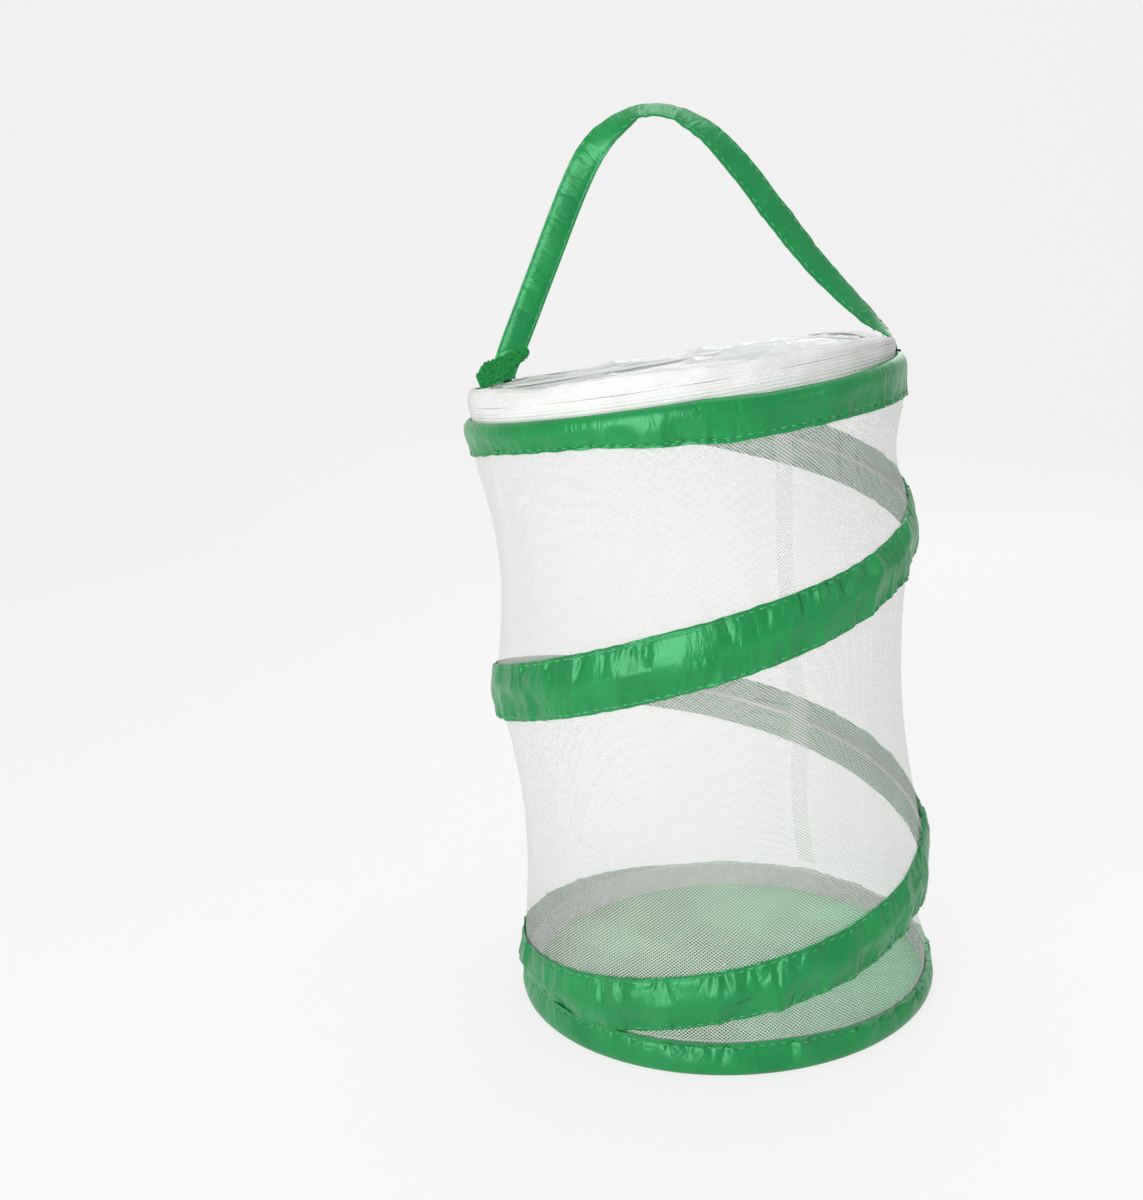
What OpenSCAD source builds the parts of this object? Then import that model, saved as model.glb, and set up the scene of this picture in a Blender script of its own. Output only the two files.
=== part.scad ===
// Pop-up net cage for insects: a cloth base, a net wall held open by one spiral spring
// wire in a ribbon sleeve, a bound top rim, and a zipped clear lid with a strap handle.
// Millimetres. The base lies on z = 0 about the Z axis, and the front is at -Y.

/* [Cage] */
// outer radius over the ribbon-bound hoops
cage_r = 70; // [60:0.5:85]
// height of the top binding's upper edge at the middle of the rim
rim_z = 201; // [150:1:260]
// how far the soft cage leans to the left at the rim
rim_lean = 6; // [0:0.5:10]
// tilt of the rim, right side up, in degrees
rim_tilt = 5.5; // [0:0.1:7]

/* [Bindings] */
// height of the folded ribbon on the top hoop
top_bind_h = 13; // [11:0.5:16]
// height of the folded ribbon on the base hoop
base_bind_h = 10.5; // [9:0.5:14]
// spring steel wire of the two hoops
hoop_wire_d = 1.8; // [1.4:0.1:2]
// thickness of the base cloth
base_cloth_t = 0.7; // [0.5:0.1:1.2]

/* [Spiral] */
// spring steel wire of the spiral
spiral_wire_d = 1.6; // [1:0.1:1.8]
// width of the satin ribbon sewn over the spiral wire
sleeve_w = 19.4; // [14:0.2:24]
// thickness of that ribbon
sleeve_t = 0.5; // [0.4:0.05:0.8]

/* [Net] */
// thickness of the net wall
net_t = 0.5; // [0.4:0.05:0.6]
// how far the net is drawn in between the wires
net_draw = 4; // [0:0.5:6]
// width of the seam that closes the net
seam_w = 7; // [4:0.5:12]
// place of that seam round the wall, in degrees
seam_at = 54; // [20:1:80]

/* [Zip] */
// thickness of the zip tapes
tape_t = 0.6; // [0.4:0.05:0.7]
// thickness of the nylon coils, across the tape
coil_t = 1.9; // [1.4:0.1:2]
// height of each coil along the tape
coil_h = 1.5; // [1:0.1:1.6]
// space between the two coils that the slider's post runs in
coil_gap = 1.5; // [1.4:0.1:2]
// slider length along the zip, in degrees of the rim
slider_deg = 8.5; // [6:0.5:10]
// turn from the left end stop to the middle of the parked slider, in degrees of the rim
slider_park = 6.6; // [5.5:0.1:14]
// length of the pull tab below its eye
pull_l = 15; // [10:0.5:20]

/* [Lid] */
// thickness of the clear vinyl
vinyl_t = 0.55; // [0.4:0.05:0.6]
// distance of the fold in front of the middle
fold_y = 12; // [9:0.5:20]

/* [Handle] */
// width of the strap
strap_w = 9; // [7:0.5:12]
// thickness of the strap
strap_t = 1.4; // [1:0.1:1.8]
// rise of the strap above its roots
strap_rise = 74; // [50:1:95]

/* [Keeper tab] */
// length of the loop-pile tab
keeper_l = 12; // [8:0.5:14]
// width of the loop-pile tab
keeper_w = 9; // [6:0.5:9]
// thickness of the loop-pile tab
keeper_t = 1.2; // [0.8:0.1:1.6]

/* [Hidden] */
$fn = 96;
// ring radii, all taken from the outer radius
net_r = cage_r - 2.05;
hoop_r = cage_r - 1.7;
layer_in = cage_r - 3.4;
tape_r = cage_r - 3.3;
wire_dr = spiral_wire_d / 2 + 0.05;
wire_r = net_r + 0.3 + wire_dr;
// zip heights over the rim's upper edge
coil_z0 = 2;
coil_mid = coil_z0 + coil_h + coil_gap / 2;
coil_z1 = coil_z0 + coil_h + coil_gap;
coil_rc = cage_r - 3.95;
lid_z = coil_mid + 3.95;
zip_a0 = 141.4;
zip_a1 = 351.2;
slider_at = zip_a0 + slider_park;
web_gap = 3.4;
wing_in = coil_rc - coil_t / 2 - 0.35;
wing_out = coil_rc + coil_t / 2 + 0.4;
bar_r = wing_out + 2.45;
fold_gap = 0.3;
panel_r = tape_r - 2.1;
lid_in = tape_r - 5.7;
// handle root line: the left root is on the lid, the right one outside the zip on the binding
root_l = [-0.822 * cage_r, 0.221 * cage_r];
root_r = [cage_r - 1.8, strap_w - 7.5];
root_z = lid_z + 2;
root_zr = 0.9;
root_drop = root_z - root_zr;
root_span = norm(root_r - root_l);
root_turn = atan2(root_r[1] - root_l[1], root_r[0] - root_l[0]);

// frame of the rim: middle of the top binding's upper edge
module rim() {
    translate([-rim_lean, 0, rim_z]) rotate([0, -rim_tilt, 0]) children();
}

// a ring of the given profile over part of the turn
module arc(a0, a1) {
    rotate([0, 0, a0]) rotate_extrude(angle = a1 - a0) children();
}

// everything in front of, or behind, the lid's fold
module front_half() {
    translate([-100, -200 - fold_y - fold_gap / 2, -50]) cube([200, 200, 150]);
}
module back_half() {
    translate([-100, -fold_y + fold_gap / 2, -50]) cube([200, 200, 150]);
}

// point of the leaning wall at height v along its axis, at angle a and radius r
wall_top = rim_z - top_bind_h;
axis_x1 = -rim_lean + top_bind_h * sin(rim_tilt);
axis_z1 = rim_z - top_bind_h * cos(rim_tilt);
function wall_share(v) = min(1, v / wall_top);
function wall_pt(v, a, r) =
    let (k = wall_share(v), t = rim_tilt * k, up = max(0, v - wall_top))
    [axis_x1 * k - up * sin(t) + r * cos(a) * cos(t),
     r * sin(a),
     axis_z1 * k + up * cos(t) + r * cos(a) * sin(t)];

// height of the spiral wire at a turned angle: it leaves the base slowly, then climbs evenly,
// a little steeper at the back than at the front
rise = rim_z / 201;
function climb(a) = -51.2 + 0.2914 * a - 4.24 * cos(a) + 1.1 * sin(a);
function start(a) = 5 + 0.1 * (a - 110);
function wire_v(a) =
    let (f = climb(a), g = start(a))
    rise * (f + g + sqrt((f - g) * (f - g) + 4)) / 2;
low_v = base_bind_h + 0.5;
high_v = wall_top - 0.5;
wire_a0 = 182;
wire_a1 = 806;
sleeve_a0 = 105;
sleeve_a1 = 834;

// heights of the ribbon over the net at an angle from 0 to 360
function ribs(a) =
    [for (k = [0 : 2]) if (a + 360 * k >= sleeve_a0 && a + 360 * k <= sleeve_a1) wire_v(a + 360 * k)];
// the net's inward draw between one rib and the next; it is flat beside the two bindings
flat_lo = base_bind_h + 2;
flat_hi = wall_top - 2;
function draw_in(a, v) =
    let (s = ribs(a), hw = sleeve_w * 0.34, on = [for (q = s) if (abs(v - q) < hw) q])
    len(on) > 0 || v <= flat_lo || v >= flat_hi ? 0 :
    let (lo = max(concat([flat_lo], [for (q = s) if (q + hw <= v) q + hw])),
         hi = min(concat([flat_hi], [for (q = s) if (q - hw >= v) q - hw])))
    min(net_draw, 0.09 * (hi - lo)) * sin(180 * (v - lo) / (hi - lo));

// a closed skin swept through rows of points; each row is a closed loop
module sweep(rows) {
    n = len(rows[0]);
    m = len(rows);
    sides = [for (i = [0 : m - 2], j = [0 : n - 1], h = [0, 1])
        let (a = i * n + j, b = i * n + (j + 1) % n, c = a + n, d = b + n)
        h == 0 ? [a, c, b] : [b, c, d]];
    polyhedron(
        points = [for (row = rows, p = row) p],
        faces = concat(sides, [[for (j = [0 : n - 1]) j]], [[for (j = [n - 1 : -1 : 0]) (m - 1) * n + j]]),
        convexity = 10);
}

// a closed skin whose last row joins its first
module ring_sweep(rows) {
    n = len(rows[0]);
    m = len(rows);
    polyhedron(
        points = [for (row = rows, p = row) p],
        faces = [for (i = [0 : m - 1], j = [0 : n - 1], h = [0, 1])
            let (k = (i + 1) % m, a = i * n + j, b = i * n + (j + 1) % n, c = k * n + j, d = k * n + (j + 1) % n)
            h == 0 ? [a, b, c] : [b, d, c]],
        convexity = 10);
}

// Base: woven cloth disc that is the floor of the cage and lies on the table
module base_panel() {
    color([0.86, 0.89, 0.87]) cylinder(r = cage_r - 3.2, h = base_cloth_t);
}

// Base hoop: closed ring of spring wire inside the base binding
module base_hoop() {
    color([0.6, 0.62, 0.64]) translate([0, 0, 0.85 + hoop_wire_d / 2]) rotate_extrude()
        translate([hoop_r, 0]) circle(d = hoop_wire_d, $fn = 32);
}

// Base binding: ribbon folded round the base hoop, open at its upper edge
module base_binding() {
    h = base_bind_h;
    color([0.18, 0.62, 0.34]) rotate_extrude()
        polygon([
            [cage_r - 0.45, h], [cage_r - 0.35, h * 0.65], [cage_r, 2.7], [cage_r - 0.3, 0.9],
            [cage_r - 1.1, 0], [layer_in + 0.1, 0], [layer_in + 0.1, h], [layer_in + 0.6, h],
            [layer_in + 0.6, 0.6], [cage_r - 1.3, 0.6], [cage_r - 0.8, 1.3], [cage_r - 0.6, 2.7],
            [cage_r - 0.95, h * 0.65], [cage_r - 1.05, h]]);
}

// Net wall: fine net sewn to a tube, drawn in between the ribs of the spiral
module mesh_wall() {
    v0 = 4.5;
    v1 = rim_z - top_bind_h / 2;
    vs = concat([v0], [for (i = [0 : 12]) flat_lo + (flat_hi - flat_lo) * i / 12], [v1]);
    color([0.95, 0.96, 0.95, 0.5]) ring_sweep([for (k = [0 : 39]) let (a = k * 9)
        concat(
            [for (v = vs) wall_pt(v, a, net_r - draw_in(a, v))],
            [for (i = [14 : -1 : 0]) wall_pt(vs[i], a, net_r - net_t - draw_in(a, vs[i]))])]);
}

// Wall seam: folded net tape that closes the tube at the back
module wall_seam() {
    vs = [for (i = [0 : 12]) flat_lo + (flat_hi - flat_lo) * i / 12];
    w = seam_w / 2 / net_r * 180 / PI;
    color([0.93, 0.95, 0.94]) sweep([for (v = vs)
        let (r = net_r - net_t - 0.1 - max([for (q = [-w, 0, w]) draw_in(seam_at + q, v)]) * cos(w))
        [for (q = [[-w, 0], [0, 0.08], [w, 0], [w, -0.6], [0, -0.6], [-w, -0.6]])
            wall_pt(v, seam_at + q[0], r - 0.35 + q[1])]]);
}

// Spiral wire: one unbroken length of spring wire that pushes the rim up off the base
wire_rings = 64;
function wire_mid(i) =
    let (a = wire_a0 + (wire_a1 - wire_a0) * i / (wire_rings - 1))
    wall_pt(wire_v(a), a, wire_r);
module spiral_wire() {
    r = spiral_wire_d / 2;
    mids = [for (i = [0 : wire_rings - 1]) wire_mid(i)];
    gaps = [for (i = [0 : wire_rings - 1], j = [i + 18 : wire_rings - 1]) norm(mids[j] - mids[i]) - 2 * r];
    echo("least gap of the spiral wire to itself, mm", min(gaps));
    color([0.6, 0.62, 0.64]) sweep([for (i = [0 : wire_rings - 1])
        let (a = wire_a0 + (wire_a1 - wire_a0) * i / (wire_rings - 1), v = wire_v(a))
        [for (q = [0 : 5]) wall_pt(v + r * sin(q * 60), a, wire_r + r * cos(q * 60))]]);
}

// Spiral sleeve: satin ribbon sewn along both edges over the wire
sleeve_steps = 74;
module spiral_sleeve() {
    hw = sleeve_w / 2;
    b = wire_r - net_r + wire_dr + 0.35;
    color([0.18, 0.62, 0.34]) sweep([for (i = [0 : sleeve_steps])
        let (a = sleeve_a0 + (sleeve_a1 - sleeve_a0) * i / sleeve_steps,
             v = wire_v(a),
             lo = max(v - hw, low_v),
             hi = min(v + hw, high_v),
             m = max(lo + 1.2, min(hi - 1.2, v)),
             near = v > low_v + 0.8 && v < high_v - 0.8 ? 1 : 0.3,
             down = [lo, lo + (m - lo) * 0.55, m - min(1.5, (m - lo) * 0.3)],
             up = [m + min(1.5, (hi - m) * 0.3), m + (hi - m) * 0.45, hi],
             hs = concat(down, [m], up),
             dr = [0.1, 0.3, b * 0.85 * near, b * near, b * 0.85 * near, 0.3, 0.1])
        concat(
            [for (j = [0 : 6]) wall_pt(hs[j], a, net_r + max(0.1, dr[j]) + sleeve_t)],
            [for (j = [6 : -1 : 0]) wall_pt(hs[j], a, net_r + max(0.1, dr[j]))])]);
}

// Top hoop: closed ring of spring wire inside the top binding
module top_hoop() {
    color([0.6, 0.62, 0.64]) rim() translate([0, 0, -2.5 - hoop_wire_d / 2]) rotate_extrude()
        translate([hoop_r, 0]) circle(d = hoop_wire_d, $fn = 32);
}

// Top binding: ribbon folded over the top hoop, open at its lower edge
module top_binding() {
    h = top_bind_h;
    color([0.18, 0.62, 0.34]) rim() rotate_extrude()
        polygon([
            [cage_r - 1.25, -h], [cage_r - 1.1, -h * 0.7], [cage_r - 0.4, -5.4], [cage_r - 0.05, -3.4],
            [cage_r - 0.4, -1.5], [cage_r - 1.2, -0.4], [cage_r - 2.2, 0], [cage_r - 2.9, -0.25],
            [layer_in, -1], [layer_in, -h], [layer_in + 0.5, -h], [layer_in + 0.5, -1.5],
            [cage_r - 2.5, -0.75], [cage_r - 2.1, -0.6], [cage_r - 1.4, -1], [cage_r - 0.9, -1.9],
            [cage_r - 0.65, -3.4], [cage_r - 0.95, -5.1], [cage_r - 1.6, -h * 0.7], [cage_r - 1.75, -h]]);
}

// Lower zip tape: woven tape standing up out of the top binding all round
module zip_tape_lower() {
    color([0.93, 0.94, 0.93]) rim() rotate_extrude()
        polygon([
            [tape_r, -9], [tape_r, 0], [tape_r - 0.25, coil_z0 + coil_h / 2],
            [tape_r - 0.25 - tape_t, coil_z0 + coil_h / 2], [tape_r - tape_t, 0], [tape_r - tape_t, -9]]);
}

// profile of a zip coil whose lower side is at height z
module coil_profile(z) {
    translate([coil_rc - coil_t / 2, z])
        polygon([
            [0.3, 0], [coil_t - 0.3, 0], [coil_t, 0.35], [coil_t, coil_h - 0.35],
            [coil_t - 0.3, coil_h], [0.3, coil_h], [0, coil_h - 0.35], [0, 0.35]]);
}

// Lower coil: nylon coil along the edge of the lower tape
module zip_coil_lower() {
    color([0.96, 0.97, 0.96]) rim() arc(zip_a0, zip_a1) coil_profile(coil_z0);
}

// profile of the lid's tape, which turns in over the edge of the vinyl
module lid_tape_profile() {
    z = coil_z1 + coil_h / 2;
    polygon([
        [tape_r - 0.4, z], [tape_r - 0.7, lid_z + 0.2], [tape_r - 1.1, lid_z + 0.6], [lid_in, lid_z + 0.6],
        [lid_in, lid_z], [tape_r - 1.5, lid_z], [tape_r - 1.2, lid_z - 0.4], [tape_r - 0.4 - tape_t, z]]);
}

// Fixed lid tape: the upper tape behind the fold, which stays on the rim
module lid_tape_fixed() {
    color([0.93, 0.94, 0.93]) rim() intersection() {
        rotate_extrude() lid_tape_profile();
        back_half();
    }
}

// Fixed coils: the short ends of the upper coil behind the fold, left and right
module zip_coil_fixed_left() {
    color([0.96, 0.97, 0.96]) rim() intersection() {
        arc(zip_a0, 180 + fold_y) coil_profile(coil_z1);
        back_half();
    }
}
module zip_coil_fixed_right() {
    color([0.96, 0.97, 0.96]) rim() intersection() {
        arc(360 - fold_y, zip_a1) coil_profile(coil_z1);
        back_half();
    }
}

// Back web: plain tape that joins the two tapes where there is no zip
module zip_back_web() {
    color([0.93, 0.94, 0.93]) rim() arc(zip_a1 - 360 + web_gap, zip_a0 - web_gap)
        polygon([
            [tape_r - 0.2, coil_z0 + 0.1], [tape_r - 0.45, coil_z1 + coil_h + 0.2],
            [tape_r - 0.35 - tape_t, coil_z1 + coil_h + 0.2], [tape_r - 0.1 - tape_t, coil_z0 + 0.1]]);
}

// profile of an end stop, clamped over both coils
module stop_profile() {
    translate([coil_rc - coil_t / 2 - 0.15, coil_z0 - 0.3])
        square([coil_t + 0.3, 2 * coil_h + coil_gap + 0.6]);
}

// End stops: moulded over the ends of the two coils
module zip_stop_left() {
    color([0.9, 0.91, 0.9]) rim() arc(zip_a0 - 2, zip_a0 + 0.2) stop_profile();
}
module zip_stop_right() {
    color([0.9, 0.91, 0.9]) rim() arc(zip_a1 - 0.2, zip_a1 + 2) stop_profile();
}

// Fixed lid panel: clear vinyl behind the fold
module lid_panel_fixed() {
    color([0.9, 0.95, 0.95, 0.3]) rim() intersection() {
        translate([0, 0, lid_z + 0.05 - vinyl_t]) cylinder(r = panel_r, h = vinyl_t);
        back_half();
    }
}

// Fold seam: narrow tape sewn on the fixed vinyl along the fold
module fold_seam() {
    color([0.93, 0.94, 0.93]) rim()
        translate([-lid_in * 0.9, -fold_y + fold_gap / 2 + 0.05, lid_z]) cube([lid_in * 1.8, 3.4, 0.5]);
}

// Strap pads: the strap's folded ends, sewn flat on the lid's fixed tape and on the binding
module strap_pad_left() {
    color([0.16, 0.58, 0.31]) rim() translate([root_l[0], root_l[1], lid_z + 0.5])
        rotate([0, 0, 165]) translate([-3.5, -strap_w / 2, 0]) cube([7, strap_w, 0.55]);
}
module strap_pad_right() {
    from = asin((root_r[1] - strap_w) / root_r[0]);
    to = asin(root_r[1] / root_r[0]);
    color([0.16, 0.58, 0.31]) rim() arc(from - 0.3, to + 0.3)
        polygon([
            [cage_r - 2.95, -0.25], [cage_r - 2.95, 0.3], [cage_r - 1.1, 0.3], [cage_r - 1, -0.45],
            [cage_r - 1.2, -0.6], [cage_r - 2.2, -0.2]]);
}

// Keeper tab: loop-pile tab on the lid's fixed tape beside the strap
module keeper_tab() {
    color([0.06, 0.6, 0.27]) rim() union() {
        translate([-lid_in - 2.6, -fold_y + 1.6, lid_z + 0.5]) cube([5.4, 5, 0.8]);
        translate([-lid_in - 1.6, -fold_y + 4.2, lid_z + 3.9]) rotate([48, -24, 0])
            translate([0, 0, -keeper_t / 2]) linear_extrude(keeper_t) hull() {
                translate([0, -keeper_w / 2]) square([3, keeper_w]);
                translate([keeper_l + 2.4, 0.6]) circle(d = keeper_w * 0.53, $fn = 40);
            }
    }
}

// Lid flap: clear vinyl in front of the fold, which lifts
module lid_panel_flap() {
    color([0.9, 0.95, 0.95, 0.3]) rim() intersection() {
        translate([0, 0, lid_z + 0.05 - vinyl_t]) cylinder(r = panel_r, h = vinyl_t);
        front_half();
    }
}

// Flap hem: narrow tape sewn on the flap along the fold
module flap_hem() {
    color([0.93, 0.94, 0.93]) rim()
        translate([-lid_in * 0.9, -fold_y - fold_gap / 2 - 3.45, lid_z]) cube([lid_in * 1.8, 3.4, 0.5]);
}

// Flap tape: the upper tape round the edge of the flap
module lid_tape_flap() {
    color([0.93, 0.94, 0.93]) rim() intersection() {
        rotate_extrude() lid_tape_profile();
        front_half();
    }
}

// Flap coil: the upper coil along the flap
module zip_coil_flap() {
    color([0.96, 0.97, 0.96]) rim() intersection() {
        arc(170, 370) coil_profile(coil_z1);
        front_half();
    }
}

// Slider body: two curved plates over the coils, joined by the post between them
module slider_body() {
    d = slider_deg / 2;
    post = coil_gap - 0.6;
    color([0.9, 0.91, 0.9]) rim() rotate([0, 0, slider_at]) union() {
        arc(-d, d) translate([wing_in - 0.95, coil_mid - 3.3]) square([0.95, 6.5]);
        arc(-d, d) translate([wing_out, coil_mid - 3.3]) square([0.95, 6.5]);
        arc(d - 2.4, d - 0.15) translate([wing_in - 0.3, coil_mid - post / 2]) square([wing_out - wing_in + 0.6, post]);
    }
}

// Slider bail: bridge on the slider that carries the pull tab
module slider_bail() {
    color([0.88, 0.89, 0.88]) rim() rotate([0, 0, slider_at]) translate([0, 0, coil_mid]) union() {
        for (s = [-1, 1])
            translate([wing_out + 0.75, s * 3.1 - 0.5, -0.6]) cube([2.3, 1, 1.2]);
        translate([bar_r, 0, 0]) rotate([90, 0, 0]) cylinder(d = 1.1, h = 6.4, center = true, $fn = 32);
    }
}

// Pull tab: moulded tab that hangs from the bail by its eye
hang = rim_tilt * cos(180 - slider_at);
module pull_tab() {
    color([0.9, 0.91, 0.9]) rim() rotate([0, 0, slider_at]) translate([bar_r, 0, coil_mid]) rotate([0, -hang, 0])
        difference() {
            union() {
                rotate([90, 0, 0]) cylinder(d = 2.7, h = 3.6, center = true, $fn = 40);
                translate([0.45, -1.8, -pull_l + 2]) cube([0.9, 3.6, pull_l - 2]);
                translate([0.45, 0, -pull_l + 2]) rotate([0, 90, 0]) cylinder(d = 5, h = 0.9, $fn = 40);
            }
            rotate([90, 0, 0]) cylinder(d = 1.6, h = 10, center = true, $fn = 40);
        }
}

// Handle strap: ribbon folded to a flat strap that arches over the lid. Its left end faces the
// front, it turns at the top, and its right end turns edge-on and goes down outside the zip.
strap_u = [0.012, 0.035, 0.10, 0.157, 0.27, 0.335, 0.40, 0.47, 0.545,
    0.62, 0.69, 0.754, 0.83, 0.90, 0.955, 0.988, 1, 1];
strap_v = [0, 0.07, 0.255, 0.418, 0.738, 0.885, 0.965, 1, 0.98,
    0.89, 0.73, 0.545, 0.32, 0.175, 0.09, 0.035, 0, 0];
strap_q = [90, 88, 80, 72, 66, 52, 36, 24, 28, 44, 58, 66, 54, 36, 24, 12, 3, 0];
function pick(list, s) =
    let (n = len(list), i = min(n - 2, floor(s)), f = s - i,
         a = list[max(0, i - 1)], b = list[i], c = list[i + 1], d = list[min(n - 1, i + 2)])
    b + 0.5 * f * (c - a + f * (2 * a - 5 * b + 4 * c - d + f * (3 * (b - c) + d - a)));
function ease(x) = let (q = max(0, min(1, x))) q * q * (3 - 2 * q);
function strap_mid(s) =
    let (u = pick(strap_u, s), down = root_drop * max(0, (s - len(strap_u) + 3) / 2))
    [min(1, u) * root_span, -strap_w / 2 * ease((u - 0.55) / 0.42),
     max(0, pick(strap_v, s)) * strap_rise - down];
module handle_strap() {
    n = 3 * (len(strap_u) - 1);
    color([0.18, 0.62, 0.34]) rim() translate([root_l[0], root_l[1], root_z]) rotate([0, 0, root_turn])
        sweep([for (i = [0 : n])
            let (s = i / 3, p = strap_mid(s),
                 t0 = strap_mid(min(len(strap_u) - 1, s + 0.05)) - strap_mid(max(0, s - 0.05)),
                 k = ease((p[2] + (i < n / 2 ? 0 : root_drop)) / 16),
                 t1 = k * t0 / norm(t0) + (1 - k) * [0, 0, i < n / 2 ? 1 : -1],
                 t = t1 / norm(t1),
                 b = cross(t, [0, 1, 0]) / norm(cross(t, [0, 1, 0])),
                 q = pick(strap_q, s),
                 w = cos(q) * cross(b, t) + sin(q) * b,
                 f = cross(t, w))
            [for (c = [[-1, -1], [1, -1], [1, 1], [-1, 1]])
                p + w * c[0] * strap_w / 2 + f * c[1] * strap_t / 2]]);
}

base_panel();
base_hoop();
base_binding();
mesh_wall();
wall_seam();
spiral_wire();
spiral_sleeve();
top_hoop();
top_binding();
zip_tape_lower();
zip_coil_lower();
lid_tape_fixed();
zip_coil_fixed_left();
zip_coil_fixed_right();
zip_back_web();
zip_stop_left();
zip_stop_right();
lid_panel_fixed();
fold_seam();
strap_pad_left();
strap_pad_right();
keeper_tab();
lid_panel_flap();
flap_hem();
lid_tape_flap();
zip_coil_flap();
slider_body();
slider_bail();
pull_tab();
handle_strap();
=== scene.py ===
import math

import bpy
import numpy as np
from mathutils import Matrix, Vector


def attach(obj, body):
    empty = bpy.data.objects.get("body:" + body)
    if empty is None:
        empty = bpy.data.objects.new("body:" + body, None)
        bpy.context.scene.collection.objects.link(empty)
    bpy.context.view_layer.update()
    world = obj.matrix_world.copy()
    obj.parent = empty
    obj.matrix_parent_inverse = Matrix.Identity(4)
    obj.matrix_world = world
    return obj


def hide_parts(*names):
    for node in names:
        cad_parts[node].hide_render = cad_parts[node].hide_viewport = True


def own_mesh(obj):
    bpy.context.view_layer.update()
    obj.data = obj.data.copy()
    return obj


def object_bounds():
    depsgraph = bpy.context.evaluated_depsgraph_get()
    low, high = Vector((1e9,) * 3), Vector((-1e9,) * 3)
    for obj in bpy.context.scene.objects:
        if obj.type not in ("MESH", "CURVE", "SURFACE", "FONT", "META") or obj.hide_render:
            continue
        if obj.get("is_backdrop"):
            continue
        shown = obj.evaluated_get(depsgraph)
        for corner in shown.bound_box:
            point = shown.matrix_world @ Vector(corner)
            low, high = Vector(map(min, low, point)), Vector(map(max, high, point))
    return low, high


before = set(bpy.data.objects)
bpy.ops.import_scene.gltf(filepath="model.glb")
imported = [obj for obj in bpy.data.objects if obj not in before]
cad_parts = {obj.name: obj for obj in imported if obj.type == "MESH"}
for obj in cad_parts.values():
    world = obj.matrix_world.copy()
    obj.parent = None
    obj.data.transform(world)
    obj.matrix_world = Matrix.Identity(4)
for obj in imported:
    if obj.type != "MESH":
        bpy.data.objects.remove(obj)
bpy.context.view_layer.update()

# Camera: close to the cage and a little to its left, looking down past the lid's edge to the base,
# and rolled a few degrees.
image_height, focal_pixels = 1200, 1375.8
elev, roll = math.radians(12.245), math.radians(3.798)
eye = Vector((-0.0448, -0.4398, 0.2290))
ahead = Vector((0, math.cos(elev), -math.sin(elev)))
down = Vector((0, -math.sin(elev), -math.cos(elev)))
side = Vector((math.cos(roll), 0, 0)) + down * math.sin(roll)
down = down * math.cos(roll) - Vector((math.sin(roll), 0, 0))
camera = bpy.data.objects.new("camera", bpy.data.cameras.new("camera"))
camera.data.sensor_width = 36
camera.data.lens = focal_pixels / image_height * 36
camera.data.clip_start = 0.01
camera.matrix_world = Matrix(((side.x, -down.x, -ahead.x, eye.x), (side.y, -down.y, -ahead.y, eye.y),
                              (side.z, -down.z, -ahead.z, eye.z), (0, 0, 0, 1)))
bpy.context.scene.collection.objects.link(camera)
bpy.context.scene.camera = camera
bpy.context.scene.view_settings.view_transform = "Standard"

# Stage: one pale sheet that lies under the cage and curves up behind it, lit by large soft lamps.
# The sheet shows a little paler than its light alone would make it, and keeps the cage's shadow.


def seen_rays(nodes, links):
    """A factor of 1 for rays that show the set: from the camera, in a shine or through clear stuff."""
    path = nodes.new("ShaderNodeLightPath")
    either, all_three = nodes.new("ShaderNodeMath"), nodes.new("ShaderNodeMath")
    links.new(path.outputs["Is Camera Ray"], either.inputs[0])
    links.new(path.outputs["Is Glossy Ray"], either.inputs[1])
    links.new(either.outputs[0], all_three.inputs[0])
    links.new(path.outputs["Is Transmission Ray"], all_three.inputs[1])
    return all_three.outputs[0]


floor_back, bend_r, half_wide = 0.9, 0.7, 2.6
run = [(y, 0.0) for y in np.linspace(-1.6, floor_back, 12)]
run += [(floor_back + bend_r * math.sin(q), bend_r - bend_r * math.cos(q))
        for q in np.linspace(0.1, math.pi / 2, 14)]
run += [(floor_back + bend_r, z) for z in (1.0, 1.6, 2.4)]
backdrop = bpy.data.meshes.new("backdrop")
backdrop.from_pydata([(x, y, z - 0.0004) for y, z in run for x in (-half_wide, half_wide)], [],
                     [(2 * i, 2 * i + 1, 2 * i + 3, 2 * i + 2) for i in range(len(run) - 1)])
backdrop.polygons.foreach_set("use_smooth", [True] * len(backdrop.polygons))
backdrop_mat = bpy.data.materials.new("backdrop")
backdrop_mat.use_nodes = True
nodes, links = backdrop_mat.node_tree.nodes, backdrop_mat.node_tree.links
nodes["Principled BSDF"].inputs["Base Color"].default_value = (0.8, 0.8, 0.8, 1)
nodes["Principled BSDF"].inputs["Roughness"].default_value = 0.9
pale = nodes.new("ShaderNodeEmission")
pale.inputs["Color"].default_value = (1, 1, 1, 1)
share = nodes.new("ShaderNodeMath")
share.operation, share.inputs[1].default_value, share.use_clamp = "MULTIPLY", 0.78, True
blend = nodes.new("ShaderNodeMixShader")
links.new(seen_rays(nodes, links), share.inputs[0])
links.new(share.outputs[0], blend.inputs["Fac"])
links.new(nodes["Principled BSDF"].outputs[0], blend.inputs[1])
links.new(pale.outputs[0], blend.inputs[2])
links.new(blend.outputs[0], nodes["Material Output"].inputs["Surface"])
backdrop.materials.append(backdrop_mat)
backdrop = bpy.data.objects.new("backdrop", backdrop)
bpy.context.scene.collection.objects.link(backdrop)
backdrop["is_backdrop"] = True
lamps = (("key", (-0.52, -0.88, 0.34), 0.7, 7.2), ("fill", (0.8, -0.5, 0.45), 0.32, 0.5),
         ("top", (0.1, 0.15, 1.0), 0.6, 2.6), ("back", (0.3, 0.9, 0.6), 0.6, 1.8))
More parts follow.
